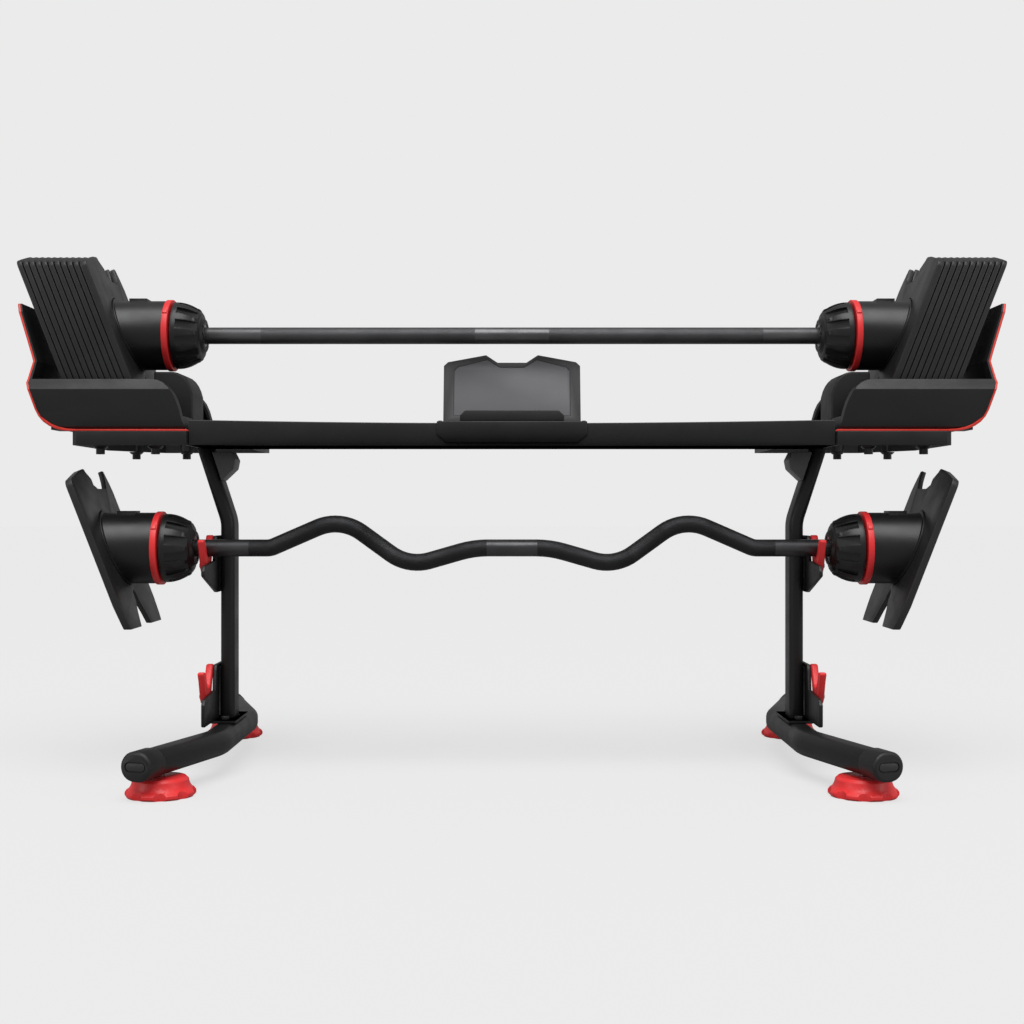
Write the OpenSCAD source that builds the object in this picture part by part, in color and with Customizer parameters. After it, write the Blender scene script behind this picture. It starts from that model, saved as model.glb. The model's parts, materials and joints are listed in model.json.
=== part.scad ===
// Adjustable barbell and curl bar on a floor stand with two plate trays.
// Millimetres, +Z up, -Y towards the user, origin on the floor under the
// middle of the stand. The right-hand side is drawn and mirrored.

/* [Bars] */
// Clear length of each bar between its two dials
grip_length = 1052; // [860:1:1300]
// Diameter of both bars
bar_d = 28.5; // [23:0.5:36]
// Height of the straight bar's axis above the floor
straight_bar_height = 733; // [600:1:900]
// Height of the straight bar's axis above the curl bar's ends
bar_spacing = 363; // [345:1:480]
// How far the hooks hold a bar in front of the posts' centre line
hook_reach = 75; // [60:1:95]
// Diameter of the spindle that carries the plates
spindle_d = 16; // [12:0.5:20]

/* [Dials and hubs] */
// Length of a dial along its bar
dial_length = 50; // [40:1:65]
// Diameter of a dial where it meets the hub
dial_d = 114; // [90:1:140]
// Number of finger panels round a dial
dial_flutes = 12; // [8:1:16]
// Width of the coloured ring between dial and hub
ring_width = 10; // [6:0.5:14]
// Diameter of the coloured ring
ring_d = 122; // [100:1:146]
// Diameter of the hub housing
hub_d = 118; // [96:1:142]
// Length of the hub along the bar's axis, ring to end plate
hub_length = 70; // [58:1:90]
// Wall of the selector sleeve that turns on the bar
sleeve_wall = 5.5; // [3:0.5:8]

/* [Weight plates] */
// Loose plates at each end, outside the fixed end plate
loose_plates = 10; // [10:1:10]
// Thickness of a plate
plate_t = 8.2; // [6:0.1:11]
// Gap between neighbouring plates
plate_gap = 1.4; // [0.8:0.1:2.5]
// Angle by which the plates lean outwards
plate_tilt = 21.3; // [15:0.1:26]
// Half the front-to-back width of a plate
plate_half = 115; // [95:1:140]
// Height of the plates' front corner above the axis, along the plate
plate_rise = 122; // [100:1:146]
// Depth of the plates' feet below the axis, along the plate
plate_drop = 134; // [112:1:162]

/* [Trays] */
// Wall thickness of a tray
tray_wall = 5; // [3:0.5:7]
// Height of a tray's long walls above its underside
tray_rim = 85; // [70:1:105]
// Height of a tray's end wall above its underside
tray_end_height = 210; // [170:1:250]
// Height of the ribs that the plates stand on
rib_height = 38; // [30:1:46]
// Thickness of the coloured trim round a tray
trim_t = 3.5; // [2:0.1:5]

/* [Stand] */
// Front-to-back length of a foot, cap to cap
foot_depth = 724; // [600:1:880]
// Width and height of the foot tube
foot_tube = [46, 40]; // [30:1:60]
// Angle by which each foot's ends bend outwards
foot_bend = 18; // [12:0.5:24]
// Clear height under the foot tube
foot_clearance = 34; // [30:1:42]
// Diameter of a levelling foot
levelling_foot_d = 106; // [80:1:128]
// Width of a post, left to right
post_w = 24; // [20:1:34]
// Depth of a post, front to back
post_d = 50; // [40:1:66]
// Angle by which the top of a post leans outwards
post_lean = 18; // [12:0.1:24]
// Height of the crossbeam's channel
beam_h = 42; // [32:1:54]
// Depth of the crossbeam at its middle
beam_mid_depth = 57; // [48:1:80]
// Depth of the crossbeam at its ends
beam_end_depth = 143; // [110:1:172]
// Height of a platform's folded edge
platform_h = 23; // [18:1:30]
// Thickness of the folded sheet
sheet_t = 3; // [2:0.5:4]
// Height of a lower hook's seat above the foot tube
lower_hook_rise = 78; // [66:1:110]

/* [Media rack] */
// Width of the rack's panel
rack_w = 236; // [200:1:290]
// Height of the rack's panel at its two peaks, along the panel
rack_h = 123; // [100:1:160]
// Angle by which the panel leans back
rack_lean = 15; // [8:1:20]
// Gap between the panel and the lip in front of it
rack_gap = 22; // [14:1:26]

/* [Hidden] */
$fn = 96;

// Clearances between pieces
run_gap = 0.3; // round a turning or sliding piece, on each side
rest_gap = 0.2; // between faces that sit on each other
slot_gap = 5; // beside the selector in a loose plate's slot
far = 400; // reach of a cutting block beyond what it cuts
weld = 0.5; // how far a rod's straight lengths run into its bends
bend_swell = 0.05; // how much thicker a rod is in its bends

// Stations along the bars, measured from the middle
half_grip = grip_length / 2;
dial_out = half_grip + dial_length;
ring_in = dial_out + 4;
hub_in = ring_in + ring_width;
plate_in = hub_in + hub_length;
plate_pitch = (plate_t + plate_gap) / cos(plate_tilt);
sleeve_r = bar_d / 2 + run_gap + sleeve_wall;
sleeve_out = hub_in + 4;
selector_r = spindle_d / 2 + run_gap + 2.7;
end_cap_t = 4;
plate_bore_r = selector_r + 2 * run_gap;
slot_half = selector_r + slot_gap;
hub_bore_r = sleeve_r + 2 * run_gap;
collar_t = 5;
collar_r = hub_d / 2 + 7;

// Bar heights and places
straight_z = straight_bar_height;
curl_z = straight_bar_height - bar_spacing;
foot_top = foot_clearance + foot_tube[1];
lower_hook_z = foot_top + lower_hook_rise;
hook_y = -hook_reach;

// Trays: the underside follows from where the plates' feet come
plate_foot_z = straight_z - plate_drop * cos(plate_tilt) - plate_t * sin(plate_tilt);
tray_z = plate_foot_z - 2 * rest_gap - rib_height - tray_wall;
tray_in = half_grip + 2;
plates_out = plate_in + loose_plates * plate_pitch + plate_t / cos(plate_tilt);
tray_out = plates_out + tan(plate_tilt) * (tray_z + tray_end_height - straight_z) + 25;
tray_half = plate_half + 5 + tray_wall;
rim_half = tray_half + 12;
end_half = tray_half - 7;
cradle_x = [half_grip + 14, half_grip + 79];
cradle_half = 44;
scoop_h = 26; // height left of the tray's inner end between its long walls
cradle_h = straight_z - tray_z - hub_d / 2 - 12;

// Stand
platform_z = tray_z - rest_gap - platform_h;
platform_out = half_grip + 189;
platform_front = -140;
platform_rear = 180;
beam_half = tray_in - rest_gap;
beam_rear = 17;
post_x = half_grip - 41;
foot_x = half_grip - 44;
post_base_t = 5;
post_foot_z = foot_top + rest_gap + post_base_t;
post_top_z = platform_z - rest_gap;
post_bend_z = post_top_z - 124;
post_bend_r = 70;
strip_t = 2;
side_plate_x = [post_x + post_w / 2 + strip_t, post_x + post_w / 2 + strip_t + 6];
hook_x = [side_plate_x[1] + rest_gap, side_plate_x[1] + 11.2];
hook_seat_r = bar_d / 2 + 0.6;
bolt_flats_d = 13;
platform_bolt_x = [half_grip + 63, half_grip + 154];
platform_bolt_y = [-96, 130];

// Foot: a straight middle, two bends and two straight ends
foot_mid_half = 111;
foot_bend_r = 120;
cap_length = 46;
cap_over = 36;
foot_end_run = (foot_depth / 2 - foot_mid_half - foot_bend_r * sin(foot_bend)
    - (foot_tube[0] / 2 + 2) * sin(foot_bend)) / cos(foot_bend) - (cap_length - cap_over);
foot_pad_from_end = 60;
pad_h = foot_clearance - 5;
stud_d = 12;
nut_d = 28;
tube_step = 8.6; // depth of the step that stands for the tube's rounded corner

// Rack
rack_z = platform_z + beam_h;
rack_base_t = 2.5;
rack_panel_t = 6;
rack_panel_y = -8;
rack_lip_t = 6;
rack_lip_h = 19;
inset_t = 1.4;
rack_screw = [42, 6];

// ---------- outline helpers ----------

// Moves every edge of a counter-clockwise outline inwards by d
function edge_normal(a, b) = [a[1] - b[1], b[0] - a[0]] / norm(b - a);
function shrink(p, d) = [
    for (i = [0 : len(p) - 1])
        let (
            before = p[(i + len(p) - 1) % len(p)],
            after = p[(i + 1) % len(p)],
            n1 = edge_normal(before, p[i]),
            n2 = edge_normal(p[i], after)
        )
        p[i] + d * (n1 + n2) / (1 + n1 * n2)
];

// Points along a quadratic curve from a to c, drawn towards b
function curve(a, b, c, steps = 6) = [
    for (i = [0 : steps])
        let (t = i / steps)
        (1 - t) * (1 - t) * a + 2 * t * (1 - t) * b + t * t * c
];

// Points on an arc from angle a0 to a1
function arc(centre, r, a0, a1, steps = 6) = [
    for (i = [0 : steps])
        let (a = a0 + (a1 - a0) * i / steps)
        centre + r * [cos(a), sin(a)]
];

function mirrored(p) = [for (i = [len(p) - 1 : -1 : 0]) [-p[i][0], p[i][1]]];
function turned(p) = [for (i = [len(p) - 1 : -1 : 0]) p[i]];

module rounded_rect(size, r) {
    square([size[0], size[1] - 2 * r], center = true);
    square([size[0] - 2 * r, size[1]], center = true);
    for (x = [-1, 1], y = [-1, 1])
        translate([x * (size[0] / 2 - r), y * (size[1] / 2 - r)]) circle(r);
}

// ---------- placing helpers ----------

module both_sides() {
    children();
    mirror([1, 0, 0]) children();
}

module left_side() {
    mirror([1, 0, 0]) children();
}

// Turns a drawing in the XY plane into one seen along the X axis,
// its own x becoming +Y and its y becoming +Z
module along_x(x0, x1) {
    translate([x0, 0, 0]) rotate([90, 0, 90]) linear_extrude(x1 - x0) children();
}

// The same for a drawing seen from the front, x staying X and y becoming Z
module along_y(y0, y1) {
    translate([0, y1, 0]) rotate([90, 0, 0]) linear_extrude(y1 - y0) children();
}

module rod_x(r, x0, x1) {
    translate([x0, 0, 0]) rotate([0, 90, 0]) cylinder(r = r, h = x1 - x0);
}

module hex_bolt(flats, head) {
    cylinder(r = flats / 2 / cos(30), h = head, $fn = 6);
}

// Puts a drawing of a plate face onto plate number n, dn deep from offset n0
module on_plate(n, n0, dn) {
    translate([plate_in + n * plate_pitch, 0, 0])
        rotate([0, plate_tilt, 0])
            translate([n0, 0, 0])
                rotate([90, 0, 90]) linear_extrude(dn) children();
}

module at_straight_bar() {
    translate([0, 0, straight_z]) children();
}

module at_curl_bar() {
    translate([0, hook_y, curl_z]) children();
}

// ---------- feet ----------

// One long edge of the front half of a foot, off its centre line by off
function foot_edge(off, past) =
    let (bent = arc([foot_bend_r, -foot_mid_half], foot_bend_r - off, 180, 180 + foot_bend, 5))
    concat(bent, [bent[5] + (foot_end_run + past) * [sin(foot_bend), -cos(foot_bend)]]);
function rear(p) = [for (q = p) [q[0], -q[1]]];

// Plan of a whole foot, half wide to either side of its centre line
function foot_plan(half, past) = concat(
    foot_edge(half, past), turned(foot_edge(-half, past)),
    rear(foot_edge(-half, past)), turned(rear(foot_edge(half, past))));

module at_foot() {
    translate([foot_x, 0, foot_clearance + foot_tube[1] / 2]) children();
}

// Frame at the front end of a foot, -Y pointing along the tube
module at_foot_end(back = 0) {
    translate([foot_bend_r, -foot_mid_half, 0])
        rotate([0, 0, foot_bend])
            translate([-foot_bend_r, -foot_end_run + back, 0]) children();
}

module foot_tube_right() {
    half = foot_tube / 2;
    inner = tube_step + sheet_t;
    color("#2b2b2d") at_foot() difference() {
        union() {
            translate([0, 0, -half[1] + tube_step])
                linear_extrude(foot_tube[1] - 2 * tube_step) polygon(foot_plan(half[0], 0));
            translate([0, 0, -half[1]])
                linear_extrude(foot_tube[1]) polygon(foot_plan(half[0] - tube_step, 0));
            for (m = [0, 1]) mirror([0, m, 0]) at_foot_end(foot_pad_from_end)
                translate([0, 0, -half[1] - 4]) cylinder(d = nut_d, h = 7);
        }
        translate([0, 0, -half[1] + inner])
            linear_extrude(foot_tube[1] - 2 * inner) polygon(foot_plan(half[0] - sheet_t, 1));
        for (m = [0, 1]) mirror([0, m, 0]) at_foot_end(foot_pad_from_end)
            translate([0, 0, -half[1] - 5])
                cylinder(d = stud_d + 2 * run_gap, h = inner + 6);
    }
}

module left_foot_tube() { left_side() foot_tube_right(); }
module right_foot_tube() { foot_tube_right(); }

module foot_end_caps() {
    outer = foot_tube + [6, 6];
    color("#232325") both_sides() at_foot() for (m = [0, 1]) mirror([0, m, 0])
        at_foot_end() difference() {
            translate([0, cap_over, 0]) rotate([90, 0, 0])
                linear_extrude(cap_length) rounded_rect(outer, 17);
            // socket over the tube
            translate([0, cap_over + 1, 0]) rotate([90, 0, 0])
                linear_extrude(cap_over + 1 + rest_gap)
                    rounded_rect(foot_tube + 2 * [rest_gap, rest_gap], tube_step + 1);
            // shallow oblong panel in the end face
            translate([0, cap_over - cap_length + 2, 0]) rotate([90, 0, 0])
                linear_extrude(3) rounded_rect([36, 15], 7);
        }
}

// A flared pad with finger scallops on a threaded stud
module levelling_foot() {
    pad_r = levelling_foot_d / 2;
    scallops = 9;
    color("#e4393f") at_foot() at_foot_end(foot_pad_from_end)
        translate([0, 0, -foot_clearance - foot_tube[1] / 2]) {
            difference() {
                rotate_extrude() polygon(concat(
                    [[0, 0], [pad_r - 3, 0], [pad_r, 3], [pad_r, 7]],
                    curve([pad_r - 2, 10], [pad_r - 9, 13], [pad_r - 11, pad_h - 4], 5),
                    [[pad_r - 15, pad_h], [0, pad_h]]
                ));
                for (i = [0 : scallops - 1]) rotate([0, 0, i * 360 / scallops])
                    translate([pad_r + 8, 0, -1]) cylinder(r = 13, h = pad_h + 2);
            }
            translate([0, 0, pad_h - 0.5]) cylinder(d = stud_d, h = 26);
        }
}

module levelling_foot_front_right() { levelling_foot(); }
module levelling_foot_front_left() { left_side() levelling_foot(); }
module levelling_foot_rear_right() { mirror([0, 1, 0]) levelling_foot(); }
module levelling_foot_rear_left() { left_side() mirror([0, 1, 0]) levelling_foot(); }

// ---------- posts and side plates ----------

// Middle line of a post at height z, above its bend
function post_mid(z) = post_x + max(0, z - post_bend_z) * tan(post_lean);

// Front view of a post, or of its hollow when wall is set
function post_outline(wall, past) =
    let (
        half = post_w / 2 - wall,
        slant = half / cos(post_lean),
        centre = [post_x + post_bend_r, post_bend_z - post_bend_r * tan(post_lean / 2)],
        top = post_top_z + past,
        bottom = post_foot_z - past
    ) concat(
        [[post_x - half, bottom], [post_x + half, bottom]],
        arc(centre, post_bend_r - half, 180, 180 - post_lean, 5),
        [[post_mid(top) + slant, top], [post_mid(top) - slant, top]],
        arc(centre, post_bend_r + half, 180 - post_lean, 180, 5)
    );

module post_right() {
    color("#2a2a2c") {
        difference() {
            along_y(-post_d / 2, post_d / 2) polygon(post_outline(0, 0));
            along_y(-post_d / 2 + sheet_t, post_d / 2 - sheet_t)
                polygon(post_outline(sheet_t, 1));
        }
        // welded base flange
        translate([post_x - 21, -58, foot_top + rest_gap]) cube([42, 116, post_base_t]);
    }
}

module left_post() { left_side() post_right(); }
module right_post() { post_right(); }

// Small braces between the leaning tops and the crossbeam
module top_gussets() {
    slant = post_w / 2 / cos(post_lean) + rest_gap;
    high = post_top_z - 6;
    low = post_top_z - 55;
    edge = post_mid(high) - slant;
    color("#77777b") both_sides() along_y(-post_d / 2 - 3, post_d / 2 - 6) polygon([
        [post_mid(low) - slant, low], [edge, high], [edge - 33, high],
        [edge - 40, high - 14], [edge - 37, high - 29]
    ]);
}

// A side plate: its rear part stands beside the post, and its front part ends
// below the hook. drop is how far the front hangs below the bar, foot the rear.
module side_plate(bar_z, drop, foot) {
    front = hook_y - 62;
    back = post_d / 2 - 2;
    color("#2a2a2c") both_sides() {
        along_x(side_plate_x[0], side_plate_x[1]) polygon([
            [back, bar_z - foot], [back, bar_z + 14], [back - 6, bar_z + 20],
            [hook_y + 36, bar_z + 20], [hook_y + 30, bar_z + 10], [hook_y + 26, bar_z - 22],
            [front + 8, bar_z - 28], [front, bar_z - 36],
            [front, bar_z - drop + 2], [front + 4, bar_z - drop],
            [-post_d / 2 - 10, bar_z - foot]
        ]);
        // packing strip against the post
        translate([side_plate_x[0] - strip_t + rest_gap, -post_d / 2 + 4, bar_z - foot + 4])
            cube([strip_t, post_d - 12, foot + 10]);
    }
}

module upper_side_plates() { side_plate(curl_z, 46, 76); }
module lower_side_plates() {
    clear = lower_hook_rise - 2 * rest_gap - post_base_t;
    side_plate(lower_hook_z, clear, clear);
}

// A hook plate: a round seat between a front arm that leans forwards and a
// taller rear arm, with a tab below that is bolted to the side plate
module hooks(bar_z) {
    r = hook_seat_r;
    hook_outline = concat(
        arc([0, 0], r, 205, 335, 10),
        [[r + 4, 4], [r + 12, 19], [r + 15, 21], [r + 25, 21], [r + 27, 17],
         [r + 12, -12], [r + 5, -34], [r - 1, -40], [-r + 2, -40], [-r - 5, -33],
         [-r - 17, -2], [-r - 24, 10], [-r - 23, 14], [-r - 12, 14], [-r - 8, 10],
         [-r - 1, -2]]
    );
    color("#e4393f") both_sides() translate([0, hook_y, bar_z])
        along_x(hook_x[0], hook_x[1]) polygon(hook_outline);
}

module upper_hooks() { hooks(curl_z); }
module lower_hooks() { hooks(lower_hook_z); }

// ---------- crossbeam and platforms ----------

// The front of the beam is an arc through its middle and its two ends
beam_sag = beam_end_depth - beam_mid_depth;
beam_arc_r = (beam_half * beam_half + beam_sag * beam_sag) / (2 * beam_sag);
beam_arc_y = beam_rear - beam_mid_depth - beam_arc_r;

module beam_block(inset, z0, z1) {
    difference() {
        translate([-beam_half + inset, beam_rear - beam_end_depth, z0])
            cube([2 * (beam_half - inset), beam_end_depth - inset, z1 - z0]);
        translate([0, beam_arc_y, z0 - 1])
            cylinder(r = beam_arc_r + inset, h = z1 - z0 + 2, $fn = 360);
    }
}

module crossbeam() {
    color("#303032") difference() {
        beam_block(0, platform_z, platform_z + beam_h);
        beam_block(sheet_t, platform_z - 1, platform_z + beam_h - sheet_t);
    }
}

// Plan of a platform: beside the beam's end, with an arm behind the beam
platform_plan = [
    [beam_half + rest_gap, platform_front], [platform_out - 8, platform_front],
    [platform_out, platform_front + 8], [platform_out, 70],
    [platform_out - 75, platform_rear], [beam_half - 80, platform_rear],
    [beam_half - 80, beam_rear + rest_gap], [beam_half + rest_gap, beam_rear + rest_gap]
];

module platform_right() {
    color("#2c2c2e") translate([0, 0, platform_z]) difference() {
        linear_extrude(platform_h) polygon(platform_plan);
        difference() {
            translate([0, 0, -1]) linear_extrude(platform_h - sheet_t + 1)
                polygon(shrink(platform_plan, sheet_t));
            for (x = platform_bolt_x, y = platform_bolt_y)
                translate([x, y, 0]) cylinder(d = 24, h = platform_h);
        }
    }
}

module left_platform() { left_side() platform_right(); }
module right_platform() { platform_right(); }

// Tray bolts under the platforms, each a flared washer and a long hex nut
module platform_bolts() {
    color("#242426") both_sides() for (x = platform_bolt_x, y = platform_bolt_y)
        translate([x, y, platform_z - rest_gap - 13]) {
            hex_bolt(bolt_flats_d, 11);
            translate([0, 0, 9]) cylinder(r1 = 9, r2 = 13, h = 4);
        }
}

module frame_bolts() {
    head = 4;
    color("#5a5a5e") both_sides() {
        // side plates to posts
        for (z = [curl_z - 52, curl_z + 6, lower_hook_z - 48, lower_hook_z + 4])
            translate([side_plate_x[1] + rest_gap, 8, z])
                rotate([0, 90, 0]) hex_bolt(bolt_flats_d, head);
        // hooks to side plates
        for (z = [curl_z, lower_hook_z])
            translate([hook_x[1] + rest_gap, hook_y, z - 29])
                rotate([0, 90, 0]) hex_bolt(9, head);
        // post flanges to feet
        for (y = [-44, 44]) translate([post_x, y, foot_top + 2 * rest_gap + post_base_t])
            hex_bolt(bolt_flats_d, 6);
        // rack bracket to crossbeam
        for (y = [-rack_screw[1], rack_screw[1]])
            translate([rack_w / 2 + 4.6, y - 12, rack_z + rack_base_t + 2 * rest_gap])
                cylinder(d = 7, h = 2.5);
    }
}

// ---------- trays ----------

// Side view of the tub, x from the tray's inner end, y from its underside
tray_run = tray_out - tray_in;
knuckle = [tray_run - 21, 79]; // where the end wall turns outwards again
notch = [tray_run - 30, 115]; // and where it is furthest in
end_foot = [tray_run - 35, 35];
under_curve = curve([tray_run - 98, 0], [tray_run - 47, 0], end_foot, 6);
tub_outline = concat(
    [[0, 0]],
    under_curve,
    [knuckle, [knuckle[0] - 2, tray_rim]],
    curve([61, tray_rim], [22, tray_rim], [11, 18], 7),
    [[4, 3]]
);
// Side view of the leaning end wall
end_wall_outline = [
    end_foot - [5, 5], end_foot, knuckle, notch, [tray_run, tray_end_height],
    [tray_run - 6, tray_end_height + 1], notch - [6.5, 0],
    knuckle - [7, 1], end_foot - [7, -1]
];
// End view, by half-width and height: the tub flares and the end wall narrows
function tray_section(d, bottom) =
    let (
        right = [
            [tray_half - d, bottom], [rim_half - d, tray_rim - 17],
            [rim_half - 8 - d, tray_rim],
            [end_half + 4 - d, 128], [end_half - d, tray_end_height - 14 - d],
            [end_half - 10 - d, tray_end_height - d + 1]
        ]
    ) concat(right, mirrored(right));
band_z = tray_rim - 17; // foot of the sloping band round the rim
tub_section = [
    [tray_half - 8, 0], [tray_half, 8], [rim_half, band_z], [rim_half - 8, tray_rim],
    [-rim_half + 8, tray_rim], [-rim_half, band_z], [-tray_half, 8], [-tray_half + 8, 0]
];
hollow_top = rim_half - 8 - tray_wall + 1;
tub_hollow = [
    [tray_half - tray_wall, tray_wall], [hollow_top, band_z],
    [hollow_top, tray_rim + 1], [-hollow_top, tray_rim + 1],
    [-hollow_top, band_z], [-tray_half + tray_wall, tray_wall]
];

module trim_shape() {
    side = concat(
        [[0, 0]],
        under_curve,
        [knuckle, notch, [tray_run, tray_end_height + 1]]
    );
    inside = [for (i = [len(side) - 1 : -1 : 0])
        side[i] + (i == 0 ? [3, trim_t] : [-trim_t, min(trim_t, side[i][1] < 20 ? trim_t : 0)])];
    intersection() {
        along_y(-rim_half, rim_half) polygon(concat(side, inside));
        difference() {
            along_x(-1, tray_run + 1) polygon(tray_section(0, 0));
            along_x(-2, tray_run + 2) polygon(tray_section(9, -9));
        }
    }
}

module at_tray() {
    translate([tray_in, 0, tray_z]) children();
}

module tray_trim_right() {
    color("#c93a36") at_tray() trim_shape();
}

module left_tray_trim() { left_side() tray_trim_right(); }
module right_tray_trim() { tray_trim_right(); }

module tray_right() {
    cradle = [cradle_x[0] - tray_in - rest_gap, cradle_x[1] - tray_in + rest_gap];
    rib_x = [plate_in - tray_in - 52, tray_run - 51];
    color("#262628") at_tray() difference() {
        union() {
            difference() {
                intersection() {
                    along_y(-rim_half, rim_half) polygon(tub_outline);
                    along_x(0, tray_run) polygon(tub_section);
                }
                intersection() {
                    union() {
                        along_y(-rim_half, rim_half) polygon(shrink(tub_outline, tray_wall));
                        translate([58, -rim_half, tray_rim - tray_wall - 1])
                            cube([knuckle[0] - 62 - tray_wall, 2 * rim_half, 8]);
                    }
                    along_x(0, tray_run) polygon(tub_hollow);
                }
            }
            // two ribs that the plates' feet stand on and a fin between the feet
            for (y = [-98, 52]) translate([rib_x[0], y, tray_wall - 1])
                cube([rib_x[1] - rib_x[0], 46, rib_height + 1]);
            translate([rib_x[0] + 8, -8, tray_wall - 1])
                cube([rib_x[1] - rib_x[0] - 20, 16, rib_height + 28]);
            intersection() {
                along_y(-rim_half, rim_half) polygon(end_wall_outline);
                along_x(0, tray_run + 1) polygon(tray_section(0, 0));
            }
        }
        // the inner end dips between the long walls and lets the cradle through
        translate([-1, -tray_half + 14, scoop_h]) cube([64, 2 * tray_half - 28, far]);
        translate([cradle[0], -cradle_half - rest_gap, tray_wall])
            cube([cradle[1] - cradle[0], 2 * (cradle_half + rest_gap), far]);
        trim_shape();
    }
}

module left_tray() { left_side() tray_right(); }
module right_tray() { tray_right(); }

// Blocks below the hubs that guide the bar back into the tray
module tray_cradles() {
    rel = cradle_x - [tray_in, tray_in];
    color("#1f1f21") both_sides() at_tray()
        translate([0, 0, tray_wall + rest_gap]) difference() {
            along_y(-cradle_half, cradle_half) polygon(concat(
                [[rel[0], 0], [rel[1], 0], [rel[1], cradle_h]],
                curve([rel[0] + 34, cradle_h], [rel[0] + 8, cradle_h - 2],
                    [rel[0], cradle_h - 38])
            ));
            translate([0, 0, straight_z - tray_z - tray_wall])
                rod_x(ring_d / 2 + 3, rel[0] - 1, rel[1] + 1);
        }
}

// ---------- bars, hubs, dials ----------

module straight_shaft() {
    tip = plates_out + 6;
    color("#55565a") at_straight_bar() {
        rod_x(bar_d / 2, -sleeve_out + run_gap, sleeve_out - run_gap);
        both_sides() {
            rod_x(spindle_d / 2, sleeve_out - 1, tip);
            rod_x(selector_r, tip - end_cap_t, tip);
        }
    }
}

// The curl bar from its middle outwards: [straight run, turn up, bend radius]
curl_path = [[40, -16, 168], [53, 52, 75], [60, -59.5, 75], [78.5, 23.5, 30]];

module bend(turn, r) {
    s = sign(turn);
    translate([0, 0, s * r]) rotate([90, 0, 0]) rotate([0, 0, s > 0 ? -90 : 90])
        rotate([0, 0, s > 0 ? 0 : turn])
            rotate_extrude(angle = abs(turn)) translate([r, 0])
                circle(bar_d / 2 + bend_swell);
}

module bent_rod(path, i = 0) {
    step = path[i];
    rod_x(bar_d / 2, -weld, step[0] + weld);
    translate([step[0], 0, 0]) {
        bend(step[1], step[2]);
        translate([step[2] * sin(abs(step[1])), 0, sign(step[1]) * step[2] * (1 - cos(step[1]))])
            rotate([0, -step[1], 0])
                if (i + 1 < len(path)) bent_rod(path, i + 1);
    }
}

// Where the bent part of the curl bar ends, followed step by step
function path_end(path, i = 0, at = [0, 0], heading = 0) =
    i == len(path) ? at :
    let (
        step = path[i],
        s = sign(step[1]),
        start = at + step[0] * [cos(heading), sin(heading)],
        centre = start + s * step[2] * [-sin(heading), cos(heading)],
        next = heading + step[1]
    )
    path_end(path, i + 1, centre - s * step[2] * [-sin(next), cos(next)], next);

curl_bend_end = path_end(curl_path);
curl_tip = plate_in + plate_t / cos(plate_tilt) + 12;

module curl_shaft() {
    color("#3f4043") at_curl_bar() translate([0, 0, -curl_bend_end[1]]) both_sides() {
        bent_rod(curl_path);
        translate([0, 0, curl_bend_end[1]]) {
            rod_x(bar_d / 2, curl_bend_end[0] - weld, sleeve_out - run_gap);
            rod_x(spindle_d / 2, sleeve_out - 1, curl_tip);
            rod_x(selector_r, curl_tip - end_cap_t, curl_tip);
        }
    }
}

// The housing is cut off along the end plate and ends in a collar
module hub() {
    color("#29292b") {
        difference() {
            union() {
                rod_x(hub_d / 2, hub_in + rest_gap, plate_in + hub_d);
                // raised pad on the top
                translate([plate_in - 36, -16, hub_d / 2 - 6]) cube([30, 32, 9]);
            }
            on_plate(0, -collar_t, 3 * hub_d) square(4 * hub_d, center = true);
            rod_x(hub_bore_r, hub_in - 1, plate_in + hub_d);
        }
        difference() {
            on_plate(0, -collar_t - 0.01, collar_t - rest_gap) circle(collar_r);
            rod_x(hub_bore_r, hub_in - 1, plate_in + hub_d);
        }
    }
}

// A coloured ring with a small raised pointer towards the user
module ring() {
    color("#e4393f") difference() {
        union() {
            rod_x(ring_d / 2, ring_in, hub_in);
            rotate([55, 0, 0]) translate([ring_in + 1, -4, ring_d / 2 - 4])
                cube([ring_width - 2, 8, 6]);
        }
        rod_x(hub_bore_r, ring_in - 1, hub_in + 1);
    }
}

// A domed hand dial with sunk finger panels and a ribbed end flange
module dial() {
    base_r = dial_d / 2;
    tip_r = base_r - 11;
    taper = atan((base_r - tip_r) / (dial_length - 15));
    flange_r = sleeve_r + 10;
    panel_w = 0.56 * PI * (tip_r + base_r) / dial_flutes;
    color("#262628") difference() {
        translate([half_grip, 0, 0]) rotate([0, 90, 0]) rotate_extrude() polygon(concat(
            [[sleeve_r, 0], [flange_r - 3, 0], [flange_r, 3], [flange_r + 2, 5], [tip_r - 8, 5.5]],
            curve([tip_r - 5, 7.5], [tip_r - 1, 9], [tip_r, 12], 3),
            curve([tip_r + 0.5, 14], [base_r - 0.5, 0.6 * dial_length],
                [base_r, dial_length - 4], 7),
            [[base_r, dial_length], [sleeve_r, dial_length]]
        ));
        for (i = [0 : dial_flutes - 1]) rotate([(i + 0.5) * 360 / dial_flutes, 0, 0])
            translate([half_grip + 7, -panel_w / 2, tip_r - 5.5]) rotate([0, -taper, 0])
                cube([(dial_length - 14) / cos(taper), panel_w, 25]);
        // radial grooves that leave ribs on the end flange
        for (i = [0 : dial_flutes - 1]) rotate([i * 360 / dial_flutes, 0, 0])
            translate([half_grip - 1, -1.5, sleeve_r + 2]) cube([3, 3, flange_r - sleeve_r - 4]);
    }
}

// Sleeve from the dial into the hub, then a tube round the spindle
module selector(tip) {
    color("#6a6b70") difference() {
        union() {
            rod_x(sleeve_r, half_grip + 1, sleeve_out + 6);
            rod_x(selector_r, sleeve_out + 5, tip - end_cap_t - run_gap);
        }
        rod_x(bar_d / 2 + run_gap, half_grip - 1, sleeve_out);
        rod_x(spindle_d / 2 + run_gap, half_grip - 1, tip + 1);
    }
}

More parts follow.
